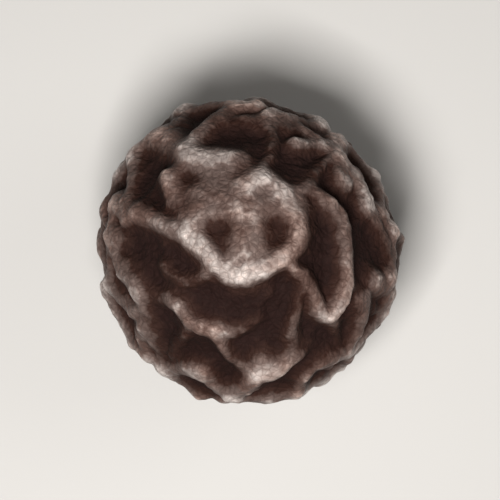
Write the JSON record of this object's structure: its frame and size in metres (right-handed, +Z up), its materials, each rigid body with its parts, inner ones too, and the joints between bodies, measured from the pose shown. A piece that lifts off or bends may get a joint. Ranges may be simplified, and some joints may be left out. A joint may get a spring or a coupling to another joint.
{
  "type": "black peppercorn",
  "caption": "Dried black peppercorn: a small round wrinkled berry with a raised net of ridges, lying on a small flat spot.",
  "frame": {"origin": "middle of the small flat spot that the berry lies on", "axes": "+Z up, away from the flat spot; the stalk scar is low on the -X, -Y side and the tip is opposite it"},
  "size_m": [0.0049, 0.005, 0.0049],
  "materials": {
    "dried_fruit_wall": "matte"
  },
  "bodies": {
    "root": {"peppercorn": "dried_fruit_wall"}
  },
  "joints": []
}
